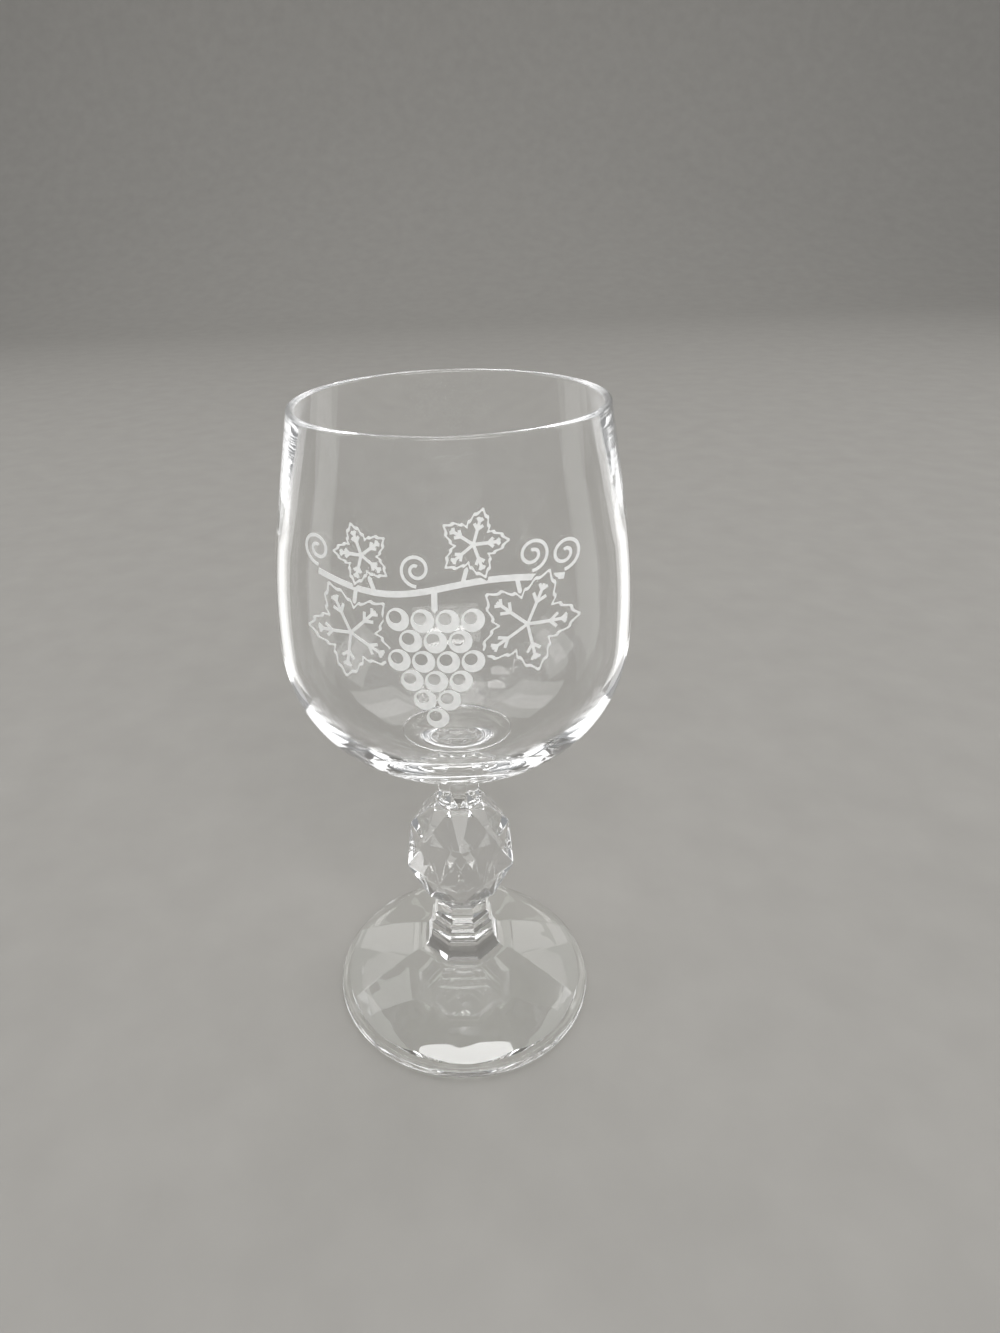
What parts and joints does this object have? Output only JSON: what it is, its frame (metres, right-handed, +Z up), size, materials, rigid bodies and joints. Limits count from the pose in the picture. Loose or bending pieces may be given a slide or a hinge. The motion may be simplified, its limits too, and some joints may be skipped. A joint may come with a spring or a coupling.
{
  "type": "sherry glass",
  "caption": "Small stemmed sherry glass with a barrel-shaped bowl, faceted ball knop, stepped collar, panelled round foot and a white enamel vine.",
  "frame": {"origin": "middle of the ring that the foot rests on, on the table's surface", "axes": "+Z up along the glass's axis, -Y towards the side with the enamel design"},
  "size_m": [0.0604, 0.0605, 0.125],
  "materials": {
    "bowl_glass": "clear blown glass",
    "stem_glass": "clear pressed glass",
    "ball_glass": "clear cut glass",
    "foot_glass": "clear pressed glass",
    "enamel": "white fired enamel"
  },
  "bodies": {
    "root": {"bowl": "bowl_glass", "neck": "stem_glass", "ball_knop": "ball_glass", "collar": "stem_glass", "foot": "foot_glass", "enamel_branch": "enamel", "enamel_leaves": "enamel", "enamel_grapes": "enamel", "enamel_tendrils": "enamel"}
  },
  "joints": []
}
